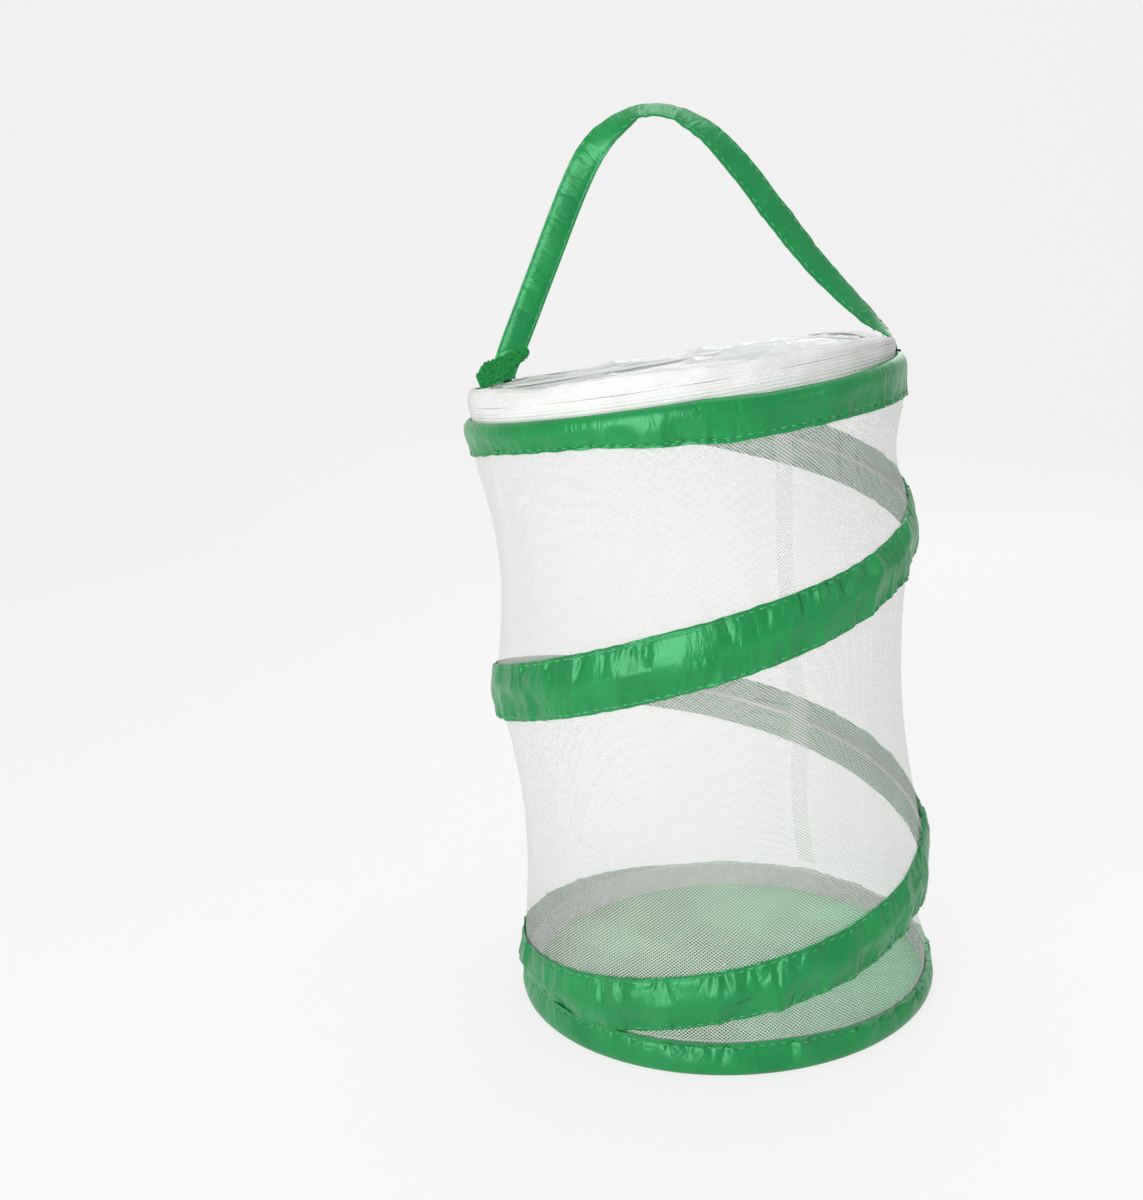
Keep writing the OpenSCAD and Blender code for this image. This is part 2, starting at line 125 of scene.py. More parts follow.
aim = Vector((0, 0, 0.12))
for name, place, size, power in lamps:
    lamp = bpy.data.objects.new(name, bpy.data.lights.new(name, "AREA"))
    lamp.data.size, lamp.data.energy = size, power
    lamp.location = place
    lamp.rotation_mode = "QUATERNION"
    lamp.rotation_quaternion = (aim - Vector(place)).to_track_quat("-Z", "Y")
    bpy.context.scene.collection.objects.link(lamp)
world = bpy.data.worlds.new("world")
world.use_nodes = True
nodes, links = world.node_tree.nodes, world.node_tree.links
nodes["Background"].inputs["Color"].default_value = (1, 1, 1, 1)
nodes["Background"].inputs["Strength"].default_value = 0.42
wall_seen, blend = nodes.new("ShaderNodeBackground"), nodes.new("ShaderNodeMixShader")
wall_seen.inputs["Color"].default_value = (1, 1, 1, 1)
level_in_shine, extra_for_camera = 0.62, 0.26
path, wall_level = nodes.new("ShaderNodeLightPath"), nodes.new("ShaderNodeMath")
wall_level.operation = "MULTIPLY_ADD"
wall_level.inputs[1].default_value = extra_for_camera
wall_level.inputs[2].default_value = level_in_shine
links.new(path.outputs["Is Camera Ray"], wall_level.inputs[0])
links.new(wall_level.outputs[0], wall_seen.inputs["Strength"])
links.new(seen_rays(nodes, links), blend.inputs["Fac"])
links.new(nodes["Background"].outputs[0], blend.inputs[1])
links.new(wall_seen.outputs[0], blend.inputs[2])
links.new(blend.outputs[0], nodes["World Output"].inputs["Surface"])
bpy.context.scene.world = world

# Base cloth: a disc of printed polyester stretched inside the base hoop. The print is a plain
# green fade with paler blotches, deeper to the left, and it is seen through the net.


def skin(name, grid, mat, around=False, closed=False, uv=None, sharp=40, inner=(), inner_mat=None):
    """A mesh through rows of points, in millimetres.

    around joins the last row to the first, closed the last column to the first.
    """
    n, m = grid.shape[:2]
    i, j = np.meshgrid(np.arange(n if around else n - 1), np.arange(m if closed else m - 1), indexing="ij")
    i, j = i.ravel(), j.ravel()
    k, l = (i + 1) % n, (j + 1) % m
    quads = np.stack([i * m + j, k * m + j, k * m + l, i * m + l], 1)
    data = bpy.data.meshes.new(name)
    data.from_pydata((grid.reshape(-1, 3) * 0.001).tolist(), [], quads.tolist())
    data.polygons.foreach_set("use_smooth", [True] * len(data.polygons))
    data.materials.append(mat)
    if inner_mat:
        data.materials.append(inner_mat)
        data.polygons.foreach_set("material_index", np.isin(j, inner).astype(np.int32))
    if sharp:
        data.set_sharp_from_angle(angle=math.radians(sharp))
    if uv is not None:
        u, v = uv
        ends = np.stack([np.stack([u[i], v[j]], 1), np.stack([u[i + 1], v[j]], 1),
                         np.stack([u[i + 1], v[j + 1]], 1), np.stack([u[i], v[j + 1]], 1)], 1)
        layer = data.uv_layers.new(name="span")
        layer.data.foreach_set("uv", (ends.reshape(-1, 2) * 0.01).ravel().astype(np.float32))
    obj = bpy.data.objects.new(name, data)
    bpy.context.scene.collection.objects.link(obj)
    return obj


def paint(name, colour, rough, **sockets):
    """A material with one Principled shader; returns it with its nodes, links and that shader."""
    mat = bpy.data.materials.new(name)
    mat.use_nodes = True
    shader = mat.node_tree.nodes["Principled BSDF"]
    shader.inputs["Base Color"].default_value = (*colour, 1)
    shader.inputs["Roughness"].default_value = rough
    for key, value in sockets.items():
        shader.inputs[key.replace("_", " ")].default_value = value
    return mat, mat.node_tree.nodes, mat.node_tree.links, shader


def math_node(nodes, links, operation, first, second=None):
    """A Math node fed by sockets or plain numbers."""
    node = nodes.new("ShaderNodeMath")
    node.operation = operation
    for k, value in enumerate((first, second)):
        if isinstance(value, (int, float)):
            node.inputs[k].default_value = value
        elif value is not None:
            links.new(value, node.inputs[k])
    return node.outputs[0]


def mottle(nodes, links, shader, scale, low, high, dark, light, detail=3):
    """Uneven colour: object-space noise run between two colours."""
    place = nodes.new("ShaderNodeTexCoord")
    cloud = nodes.new("ShaderNodeTexNoise")
    cloud.inputs["Scale"].default_value, cloud.inputs["Detail"].default_value = scale, detail
    ramp = nodes.new("ShaderNodeValToRGB")
    for end, at, colour in zip(ramp.color_ramp.elements, (low, high), (dark, light)):
        end.position, end.color = at, (*colour, 1)
    links.new(place.outputs["Object"], cloud.inputs["Vector"])
    links.new(cloud.outputs["Fac"], ramp.inputs["Fac"])
    links.new(ramp.outputs["Color"], shader.inputs["Base Color"])
    return place, cloud, ramp


def grain(nodes, links, place, scale):
    """Fine noise over the object, as a height."""
    speck = nodes.new("ShaderNodeTexNoise")
    speck.inputs["Scale"].default_value = scale
    links.new(place.outputs["Object"], speck.inputs["Vector"])
    return speck.outputs["Fac"]


def bumpy(nodes, links, shader, height, strength, depth):
    """Fine relief from a height socket, depth in millimetres."""
    bump = nodes.new("ShaderNodeBump")
    bump.inputs["Strength"].default_value, bump.inputs["Distance"].default_value = strength, depth * 0.001
    links.new(height, bump.inputs["Height"])
    links.new(bump.outputs["Normal"], shader.inputs["Normal"])


def wob(x, seed, low, high, count=7, whole=True):
    """Smooth random waves along x: whole numbers of waves per turn where x is an angle in radians."""
    rng = np.random.default_rng(seed)
    f = rng.integers(low, high + 1, count) if whole else rng.uniform(low, high, count)
    p, g = rng.uniform(0, 2 * math.pi, count), rng.uniform(0.5, 1, count)
    return sum(a * np.sin(b * x + c) for a, b, c in zip(g, f, p)) / math.sqrt(count) * 1.2


cloth_r = 67
turn = np.linspace(0, 2 * math.pi, 145)[:-1]
steps = np.linspace(0.4, cloth_r - 0.2, 34)
a, r = np.meshgrid(turn, steps, indexing="ij")
lift = 0.6 + 0.35 * wob(a, 3, 2, 5) * np.sin(math.pi * r / cloth_r)
cloth_mat, nodes, links, shader = paint("base cloth", (0.62, 0.74, 0.64), 0.75)
deep_green, pale_green = (0.002, 0.24, 0.045), (0.14, 0.62, 0.27)
place, cloud, ramp = mottle(nodes, links, shader, 22, 0.3, 0.75, deep_green, pale_green, 2)
split = nodes.new("ShaderNodeSeparateXYZ")
links.new(place.outputs["Object"], split.inputs["Vector"])
fade = math_node(nodes, links, "MULTIPLY", split.outputs["X"], 3.2)
fade = math_node(nodes, links, "ADD", fade, cloud.outputs["Fac"])
links.new(fade, ramp.inputs["Fac"])
bumpy(nodes, links, shader, grain(nodes, links, place, 1500), 0.2, 0.15)
base_cloth = skin("base_cloth", np.stack([r * np.cos(a), r * np.sin(a), lift], -1), cloth_mat, around=True)
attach(base_cloth, "base")
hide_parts("base_panel")

# Base binding: satin ribbon folded round the base hoop and stitched near its upper edge, which
# the sewing puckers. It is narrower on the right, and a pale tape lines it inside.


def satin(name, colour):
    """Satin ribbon: close weave, creases across it, a soft shine and slightly uneven dye."""
    mat, nodes, links, shader = paint(name, colour, 0.34, Specular_IOR_Level=1.0, Anisotropic=0.3,
                                      Anisotropic_Rotation=0.25)
    shader.inputs["Specular Tint"].default_value = (0.38, 1.0, 0.57, 1)
    place, *_ = mottle(nodes, links, shader, 70, 0.3, 0.72, [c * 0.82 for c in colour],
                       [colour[0] * 1.5 + 0.004, colour[1] * 1.14, colour[2] * 1.22])
    span, stretch = nodes.new("ShaderNodeUVMap"), nodes.new("ShaderNodeMapping")
    span.uv_map = "span"
    stretch.inputs["Scale"].default_value = (20, 8, 1)
    links.new(span.outputs["UV"], stretch.inputs["Vector"])
    crease = nodes.new("ShaderNodeTexNoise")
    crease.inputs["Scale"].default_value, crease.inputs["Detail"].default_value = 1, 2.5
    crease.inputs["Distortion"].default_value = 0.8
    links.new(stretch.outputs[0], crease.inputs["Vector"])
    ridge = math_node(nodes, links, "SUBTRACT", crease.outputs["Fac"], 0.5)
    ridge = math_node(nodes, links, "ABSOLUTE", ridge)
    weave = math_node(nodes, links, "MULTIPLY", grain(nodes, links, place, 2200), 0.03)
    bumpy(nodes, links, shader, math_node(nodes, links, "ADD", ridge, weave), 0.8, 1.0)
    return mat


def sew(name, spots, along, out, mat, long=2.5, thick=0.2):
    """Separate thread stitches at spots, in millimetres, each lying one way and bulging out of the cloth."""
    t = along / np.linalg.norm(along, axis=1)[:, None]
    o = out / np.linalg.norm(out, axis=1)[:, None]
    b = np.cross(t, o)
    pts = []
    for y in (-0.42, -0.2, 0.2, 0.42):
        for x in np.arange(6) * math.pi / 3:
            w = thick * (0.55 if abs(y) > 0.3 else 1)
            dip = -0.12 if abs(y) > 0.3 else 0.06
            pts.append(spots + t * (y * long) + o * (dip + w * math.sin(x)) + b * (w * math.cos(x)))
    pts = np.stack(pts, 1)
    faces = [(6 * k + i, 6 * k + (i + 1) % 6, 6 * k + 6 + (i + 1) % 6, 6 * k + 6 + i)
             for k in range(3) for i in range(6)]
    faces = (np.array(faces)[None] + 24 * np.arange(len(spots))[:, None, None]).reshape(-1, 4)
    data = bpy.data.meshes.new(name)
    data.from_pydata((pts.reshape(-1, 3) * 0.001).tolist(), [], faces.tolist())
    data.polygons.foreach_set("use_smooth", [True] * len(data.polygons))
    data.materials.append(mat)
    obj = bpy.data.objects.new(name, data)
    bpy.context.scene.collection.objects.link(obj)
    return obj


def puckers(s, d, seed, pitch, reach, depth):
    """Small dents that stitching pulls into cloth: s runs along the seam, d away from it, in millimetres."""
    rng = np.random.default_rng(seed)
    s, d = np.broadcast_arrays(s, d)
    out, at = np.zeros(s.shape), s.min() + pitch
    while at < s.max() - pitch:
        wide, long = rng.uniform(0.5, 1.4), rng.uniform(0.3, 1) * reach
        slant, deep = rng.uniform(-0.45, 0.45), rng.uniform(-1, 0.7) * depth
        rows = np.abs(s[:, 0] - at) < 3 * wide + reach / 2
        e = d[rows]
        fade = np.clip(1 - np.where(e < 0, -1.2, 1) * e / long, 0, 1)
        out[rows] += deep * np.exp(-((s[rows] - at - slant * e) / wide) ** 2) * fade
        at += pitch * rng.uniform(0.35, 1.7)
    return out


def facets(s, seed, pitch, depth):
    """Flat stretches between creases: straight runs between random heights along s, in millimetres."""
    rng = np.random.default_rng(seed)
    knots = np.cumsum(rng.uniform(0.4, 1.7, int(np.ptp(s) / pitch * 1.1) + 4)) * pitch + s.min() - pitch
    knots = knots[knots < s.max() - 2]
    high = rng.normal(0, depth, len(knots))
    return np.interp(s, np.append(knots, s.max()), np.append(high, high[0]))


def by_angle(deg, *pairs):
    """A value that changes round the cage: straight runs between pairs of degrees and value."""
    at, value = zip(*pairs)
    return np.interp(deg % 360, at, value)


def base_tall(a):
    """Height of the base binding's upper edge at an angle in radians, in millimetres."""
    return by_angle(np.degrees(a), (0, 7.3), (30, 8.2), (120, 10), (180, 10.5), (280, 10.4), (322, 7.5),
                    (360, 7.3))


green = satin("green satin", (0.002, 0.228, 0.05))
thread_mat, nodes, links, shader = paint("green thread", (0.09, 0.42, 0.16), 0.55)
mottle(nodes, links, shader, 900, 0.35, 0.65, (0.05, 0.32, 0.11), (0.15, 0.5, 0.22))
lining, nodes, links, shader = paint("lining tape", (0.5, 0.52, 0.47), 0.85)
mottle(nodes, links, shader, 400, 0.3, 0.7, (0.42, 0.44, 0.4), (0.58, 0.6, 0.55))
base_fold = np.array([(69.1, 10.5), (69.05, 9.9), (68.95, 9.3), (68.75, 9.0), (69.0, 8.6), (69.2, 7.8),
                      (69.4, 6.8), (69.7, 5.4), (69.92, 4.0), (70, 2.7), (69.85, 1.5), (69.6, 0.8),
                      (69.1, 0.2), (68.7, 0), (67.4, 0), (66.7, 0.05), (66.7, 5), (66.7, 10.4),
                      (67.1, 10.4), (67.2, 6), (67.4, 5.5), (67.5, 8), (67.8, 10.4)])
seam_z, hoop_z, fold_tall, base_girth = 9.0, 3.0, 7.5, 436
a = np.linspace(0, 2 * math.pi, 901)[:-1][:, None]
r0, z0 = base_fold[None, :, 0], base_fold[None, :, 1]
z = np.where(z0 > hoop_z, hoop_z + (z0 - hoop_z) * (base_tall(a) - hoop_z) / fold_tall, z0)
outer = np.arange(len(base_fold))[None] < 11
base_ruck = puckers(69.5 * a, seam_z - z0 + 0 * a, 11, 3.2, 6, 0.9)
base_ruck += facets(69.5 * a, 12, 4.5, 0.5) * np.clip((z0 - 2) / 5, 0, 1)
r = r0 + outer * np.maximum(base_ruck, -0.7)
z = z + 0.12 * wob(a, 13, 20, 70) * (z0 > 10)
base_ribbon = skin("base_ribbon", np.stack([r * np.cos(a), r * np.sin(a), z + 0 * a], -1), green,
                   around=True, closed=True, inner=np.arange(14, 22), inner_mat=lining,
                   uv=(np.arange(901) * base_girth / 900, np.append(base_fold[:, 1], 10.5)))
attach(base_ribbon, "base")
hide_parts("base_binding")
at = np.linspace(0, 2 * math.pi, 133)[:-1]
lie = np.interp(at, a[:, 0], r[:, 3])
high = hoop_z + (seam_z - hoop_z) * (base_tall(at) - hoop_z) / fold_tall
base_thread = sew("base_thread", np.stack([lie * np.cos(at), lie * np.sin(at), high], 1),
                  np.stack([-np.sin(at), np.cos(at), 0 * at], 1),
                  np.stack([np.cos(at), np.sin(at), 0 * at], 1), thread_mat)
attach(base_thread, "base")

# Net wall: fine white net sewn into a tube, drawn in between the turns of the spiral.
rim_tilt, rim_x, rim_z, rim_tall, wall_top = math.radians(5.5), -6, 201, 13, 188.0
ribbon_from, ribbon_to, sewn_half = 105, 834, 6.6
net_low, net_high, net_r, net_girth = 12.5, 186.0, 67.7, 425.4


def wall(v, a, r):
    """Point of the leaning wall: height v along its axis, angle a in radians, radius r, in millimetres."""
    k = np.minimum(1, v / wall_top)
    up = np.maximum(0, v - wall_top)
    x1, z1 = rim_x + rim_tall * math.sin(rim_tilt), rim_z - rim_tall * math.cos(rim_tilt)
    t = rim_tilt * k
    return np.stack(np.broadcast_arrays(x1 * k - up * np.sin(t) + r * np.cos(a) * np.cos(t), r * np.sin(a),
                                        z1 * k + up * np.cos(t) + r * np.cos(a) * np.sin(t)), -1)


def wire_height(deg):
    """Height of the spiral wire along the wall's axis at a turned angle in degrees."""
    f = -51.2 + 0.2914 * deg - 4.24 * np.cos(np.radians(deg)) + 1.1 * np.sin(np.radians(deg))
    g = 5 + 0.1 * (deg - 110)
    return (f + g + np.sqrt((f - g) ** 2 + 4)) / 2


def net_drawn(deg, v):
    """How far the net is drawn in at 0 to 360 degrees, and its distance from the nearest sewn edge."""
    low, high = np.full(v.shape, net_low), np.full(v.shape, net_high)
    on = (v <= net_low) | (v >= net_high)
    for k in range(3):
        q = deg + 360 * k
        there = (q >= ribbon_from) & (q <= ribbon_to)
        q = wire_height(q)
        on |= there & (np.abs(v - q) < sewn_half)
        low = np.where(there & (q + sewn_half <= v), np.maximum(low, q + sewn_half), low)
        high = np.where(there & (q - sewn_half >= v), np.minimum(high, q - sewn_half), high)
    room = np.maximum(high - low, 1e-3)
    far = np.where(on, 0, np.minimum(v - low, high - v))
    dip = np.minimum(4, 0.09 * room) * np.sin(math.pi * np.clip((v - low) / room, 0, 1))
    return np.where(on, 0, dip), far


def span_axes(nodes, links):
    """The two ways along a cloth, as sockets that count in tenths of a metre."""
    span, split = nodes.new("ShaderNodeUVMap"), nodes.new("ShaderNodeSeparateXYZ")
    span.uv_map = "span"
    links.new(span.outputs["UV"], split.inputs["Vector"])
    return split.outputs["X"], split.outputs["Y"]


turn = np.linspace(0, 2 * math.pi, 433)[:-1]
tall = np.concatenate([[4.6, 8.5], np.linspace(net_low, net_high, 150), [190, 194.4]])
a, v = np.meshgrid(turn, tall, indexing="ij")
drawn, far = net_drawn(np.degrees(a), v)
r = net_r - drawn + np.exp(-far / 8) * 0.2 * wob(a, 21, 40, 80, 9) * (far > 0)
r += (0.3 * wob(a, 22, 3, 9) + 0.3 * wob(a, 23, 14, 34)) * np.sin(math.pi * np.clip(far / 44, 0, 0.5))
# The net is white; its colour here is a slightly warm light grey, painted shade on the threads that sets them
# off from the pale backdrop.
net_painted_shade_mat, nodes, links, shader = paint("net", (0.88, 0.875, 0.865), 0.7)
round_way, up_way = span_axes(nodes, links)
threads_round, threads_up = 330, 1.04
threads = []
for lean in (threads_up, -threads_up):
    rise = math_node(nodes, links, "MULTIPLY", up_way, lean * 100 * math.pi)
    run = math_node(nodes, links, "MULTIPLY", round_way, threads_round * 100 / net_girth * math.pi)
    wave = math_node(nodes, links, "SINE", math_node(nodes, links, "ADD", run, rise))
    line = nodes.new("ShaderNodeMapRange")
    line.inputs["From Min"].default_value, line.inputs["From Max"].default_value = 0.22, 0.37
    line.inputs["To Min"].default_value, line.inputs["To Max"].default_value = 1, 0
    links.new(math_node(nodes, links, "ABSOLUTE", wave), line.inputs["Value"])
    threads.append(line.outputs[0])
links.new(math_node(nodes, links, "MAXIMUM", *threads), shader.inputs["Alpha"])
net = skin("net", wall(v, a, r), net_painted_shade_mat, around=True, uv=(np.arange(433) * net_girth / 432, tall), sharp=0)
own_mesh(net)
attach(net, "base")
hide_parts("mesh_wall")

# Wall seam: the net's two edges folded together and taped where the tube closes, at the back right.
# The thin tape is sewn inside the net from the base binding up to the rim.
seam_mat, nodes, links, shader = paint("seam tape", (0.9, 0.91, 0.9), 0.8, Alpha=0.35)
mottle(nodes, links, shader, 300, 0.3, 0.7, (0.84, 0.85, 0.84), (0.94, 0.94, 0.93))
seam_at, seam_half, seam_r = math.radians(54), 3.5, 67.0
v, q = np.meshgrid(np.linspace(net_low, net_high, 120),
                   seam_at + np.linspace(-seam_half, seam_half, 9) / 67.9, indexing="ij")
drawn, _ = net_drawn(np.degrees(q), v)
seam = skin("seam", wall(v, q, seam_r - drawn + 0.12 * wob(v, 31, 0.3, 0.9, whole=False)), seam_mat, sharp=0)
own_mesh(seam)
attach(seam, "base")
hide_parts("wall_seam")

# Spiral wire: one length of spring wire that climbs from the base to the rim inside its ribbon and
# pushes the cage open. Two hoops of the same wire lie in the base and top bindings.
wire_mat, nodes, links, shader = paint("spring wire", (0.55, 0.56, 0.58), 0.3, Metallic=1.0)
mottle(nodes, links, shader, 500, 0.3, 0.7, (0.45, 0.46, 0.48), (0.62, 0.63, 0.65))
wire_r, wire_thick = 69.1, 0.8
deg, q = np.meshgrid(np.linspace(182, 806, 300), np.arange(8) * math.pi / 4, indexing="ij")
wire = skin("wire", wall(wire_height(deg) + wire_thick * np.sin(q), np.radians(deg),
                         wire_r + wire_thick * np.cos(q)), wire_mat, closed=True)
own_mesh(wire)
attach(wire, "base")
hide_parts("spiral_wire")
for node in ("base_hoop", "top_hoop"):
    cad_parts[node].data.materials.clear()
    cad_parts[node].data.materials.append(wire_mat)

# Spiral ribbon: satin ribbon sewn along both edges over the wire. The stitching gathers it, so it
# lies in short flat facets with creases across it, and its width wanders a little.
half_width, stitch_x = 9.7, 0.88
deg = np.linspace(ribbon_from, ribbon_to, 2000)[:, None]
high = wire_height(deg)
trim_up = np.interp(deg, [105, 140, 200, 240, 285, 320, 350, 400, 530, 560, 615, 640, 665, 700, 760, 834],
                    [3.4, 2.2, 0.4, 0.6, 1.8, 2.2, 0.8, 0.2, 1.4, 2.0, 0.2, 0.8, 2.2, 2.8, 1.0, 0])
trim_low = np.interp(deg, [105, 200, 265, 285, 330, 500, 545, 565, 620, 790, 834],
                     [0, 0, 1.5, 1.1, 0, 0, -1.6, -1.6, 0, 0, 2.5])
low, top = np.maximum(high - half_width + trim_low, 9.4), np.minimum(high + half_width - trim_up, 189.4)
mid = np.clip(high, low + 1.2, top - 1.2)
held = np.clip((high - 10.5) / 2, 0.25, 1) * np.clip((188 - high) / 2, 0.25, 1)
x = np.array([0, 0.07, 0.15, 0.24, 0.34, 0.45, 0.56, 0.66, 0.74, 0.81, 0.85, 0.88, 0.91, 0.96, 1.0])
x = np.concatenate([-x[:0:-1], x])[None]
v = np.where(x < 0, mid + (mid - low) * x, mid + (top - mid) * x)
s = np.radians(deg) * 69
from_top, from_low = (stitch_x - x) * (top - mid), (x + stitch_x) * (mid - low)
upper, lower = np.clip(x / 0.3, 0, 1), np.clip(-x / 0.3, 0, 1)
ruck = puckers(s, from_top, 41, 2.8, 10, 0.9) + puckers(s, from_low, 42, 2.6, 10, 0.9)
ruck += upper * facets(s, 43, 4, 0.55) + lower * facets(s, 44, 4, 0.55)
ruck += (1 - np.abs(x)) * facets(s, 45, 7, 0.3)
ruck -= 0.3 * np.exp(-((x + 0.5) / 0.07) ** 2) * np.clip(wob(s, 46, 0.02, 0.06, 5, False), 0, 1)
body = 0.6 + held * 2.0 * (1 - np.sqrt(x ** 2 + 0.01))
groove = -0.25 * np.exp(-((np.abs(x) - stitch_x) / 0.025) ** 2)
rise = np.maximum(body + ruck + groove, np.where(np.abs(v - mid) < 1.2, 2.1 * held, 0.2))
ends = np.clip(np.minimum(deg - ribbon_from, ribbon_to - deg) / 24, 0.2, 1)
r = 67.95 + np.minimum(rise, 2.9) * ends * np.where(np.abs(x) > 0.99, 0.3, 1)
v = v + (np.abs(x) > 0.9) * 0.1 * wob(s, 47, 0.4, 1.2, 8, False)
ribbon = skin("ribbon", wall(np.clip(v, 9.3, 189.5), np.radians(deg) + 0 * x, r), green,
              uv=(s[:, 0], x[0] * half_width), sharp=0)
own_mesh(ribbon)
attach(ribbon, "base")
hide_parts("spiral_sleeve")
spots, ways, outs = [], [], []
for col in (3, 25):
    path = wall(v[:, col], np.radians(deg[:, 0]), r[:, col])
    gone = np.concatenate([[0], np.cumsum(np.linalg.norm(np.diff(path, axis=0), axis=1))])
    mark = np.arange(3, gone[-1] - 3, 3.35)
    spot = np.stack([np.interp(mark, gone, path[:, k]) for k in range(3)], 1)
    step = np.stack([np.interp(mark + 1, gone, path[:, k]) for k in range(3)], 1)
    ang = np.radians(np.interp(mark, gone, deg[:, 0]))
    at = np.interp(mark, gone, v[:, col])
    clear = (at > net_low) & (at < net_high)
    spots.append(spot[clear])
    ways.append((step - spot)[clear])
    outs.append(np.stack([np.cos(ang), np.sin(ang), 0 * ang], 1)[clear])
ribbon_thread = sew("ribbon_thread", *(np.concatenate(c) for c in (spots, ways, outs)), thread_mat)
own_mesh(ribbon_thread)
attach(ribbon_thread, "base")

# Top binding: the same ribbon folded over the top hoop, which shows as a round bead, and stitched
# near its lower edge. It was sewn narrower at the front left.


def rim(x, y, z):
    """A point of the tilted rim, from the middle of the binding's upper edge, in millimetres."""
    across, up = math.cos(rim_tilt), math.sin(rim_tilt)
    return np.stack(np.broadcast_arrays(rim_x + x * across - z * up, y + 0 * x,
                                        rim_z + x * up + z * across), -1)


def rim_way(x, y, z):
    """A direction of the tilted rim."""
    return rim(x, y, z) - rim(0 * x, 0 * y, 0 * z)


top_fold = np.array([(68.7, -13), (68.72, -12.5), (68.6, -11.9), (68.4, -11.6), (68.62, -11.2),
                     (68.75, -10.4), (68.85, -9.4), (69.0, -8.3), (69.2, -7.2), (69.5, -5.9), (69.85, -4.4),
                     (69.95, -3.4), (69.85, -2.4), (69.5, -1.4), (69.0, -0.7), (68.4, -0.2), (67.8, 0),
                     (67.2, -0.1), (66.75, -0.6), (66.6, -1.4), (66.6, -5), (66.6, -9.0), (67.05, -9.0),
                     (67.1, -8.2), (67.3, -8.2), (67.5, -12.9)])
top_seam_z, top_girth = -11.6, 434
a = np.linspace(0, 2 * math.pi, 901)[:-1][:, None]
r0, z0 = top_fold[None, :, 0], top_fold[None, :, 1]
hem_rise = by_angle(np.degrees(a), (0, 0), (150, 0), (190, 2.2), (213, 3.9), (243, 3.9), (251, 2.9),
                    (258, 1.9), (266, 1.5), (274, 0.2), (360, 0))
bead_sag = by_angle(np.degrees(a), (0, 0), (270, 0), (285, -1.2), (305, -1.5), (330, -0.5), (360, 0))
outer = np.arange(len(top_fold))[None] < 11
top_ruck = puckers(69 * a, z0 - top_seam_z + 0 * a, 51, 3.4, 6, 0.8)
top_ruck += facets(69 * a, 52, 5.5, 0.45) * np.clip((-z0 - 3.5) / 4, 0, 1)
r = r0 + outer * np.maximum(top_ruck, -0.5)
z = z0 + hem_rise * np.clip((-z0 - 4) / 9, 0, 1) + bead_sag * np.clip((z0 + 11) / 6, 0, 1)
z += 0.12 * wob(a, 53, 15, 60) * (z0 < -12.9)
top_ribbon = skin("top_ribbon", rim(r * np.cos(a), r * np.sin(a), z), green, around=True, closed=True,
                  uv=(np.arange(901) * top_girth / 900, np.append(top_fold[:, 1], -13) * 0.8))
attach(top_ribbon, "rim")
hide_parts("top_binding")
at = np.linspace(0, 2 * math.pi, 131)[:-1]
lie, tall = np.interp(at, a[:, 0], r[:, 3]), np.interp(at, a[:, 0], z[:, 3])
top_thread = sew("top_thread", rim(lie * np.cos(at), lie * np.sin(at), tall),
                 rim_way(-np.sin(at), np.cos(at), 0 * at), rim_way(np.cos(at), np.sin(at), 0 * at),
                 thread_mat)
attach(top_thread, "rim")

# Zip tapes: woven white tape with lengthwise ribs. The lower one stands up out of the binding, the
# upper one turns in over the edge of the lid, and they meet edge to edge in front of the coils.
lid_top = 8.8


def press(deg):
    """How far the strap's right end draws the lid's edge down at an angle in degrees, in millimetres."""
    return by_angle(deg + 90, (0, 0), (45, 0), (60, -0.5), (68, -1.6), (75, -2.8), (82, -3.4), (92, -3.4),
                    (98, -2.8), (106, -1.6), (120, -0.5), (140, 0), (360, 0))


def lid_sag(deg, r):
    """How far the soft lid stands above or below its plane at an angle and a radius, in millimetres."""
    edge = by_angle(deg, (0, -1.2), (20, -1.2), (40, -1.8), (60, -2.2), (90, -2.4), (120, -2.0), (140, -0.7),
                    (160, 0), (188, 0.6), (207, 0.6), (225, -0.7), (236, 0.2), (247, 0.7), (262, 0.1),
                    (285, -1.2), (302, -0.8), (320, -1.4), (335, -1.8), (350, -1.6), (360, -1.2))
    return (edge + press(deg)) * np.clip((r - 42) / 22, 0, 1)


def walk(strip, last):
    """Distance along a tape's outline in millimetres, with a last value where it closes."""
    return np.concatenate([[0], np.cumsum(np.hypot(*np.diff(strip, axis=0).T)), [last]])


tape_mat, nodes, links, shader = paint("zip tape", (0.84, 0.84, 0.83), 0.8)
round_way, up_way = span_axes(nodes, links)
mottle(nodes, links, shader, 160, 0.3, 0.7, (0.80, 0.80, 0.78), (0.89, 0.89, 0.88))
rib_pitch, weft_pitch = 1.05, 0.7
ribs = math_node(nodes, links, "MULTIPLY", up_way, 2 * math.pi * 100 / rib_pitch)
weft = math_node(nodes, links, "MULTIPLY", round_way, 2 * math.pi * 100 / weft_pitch)
weft = math_node(nodes, links, "MULTIPLY", math_node(nodes, links, "SINE", weft), 0.5)
weave = math_node(nodes, links, "ADD", math_node(nodes, links, "SINE", ribs), weft)
bumpy(nodes, links, shader, weave, 0.55, 0.14)
strip = np.array([(66.68, -1.8), (66.7, 0), (66.85, 0.7), (67.08, 1.5), (67.18, 2.5), (67.2, 3.4),
                  (67.17, 4.14), (67.05, 4.24), (66.92, 3.9), (66.9, 2.5), (66.5, 1.0), (66.2, 0),
                  (66.2, -1.8)])
a = np.linspace(0, 2 * math.pi, 541)[:-1][:, None]
r0, z0 = strip[None, :, 0], strip[None, :, 1]
r = r0 + 0.06 * wob(a, 61, 8, 26) * np.clip(z0 / 4, 0, 1)
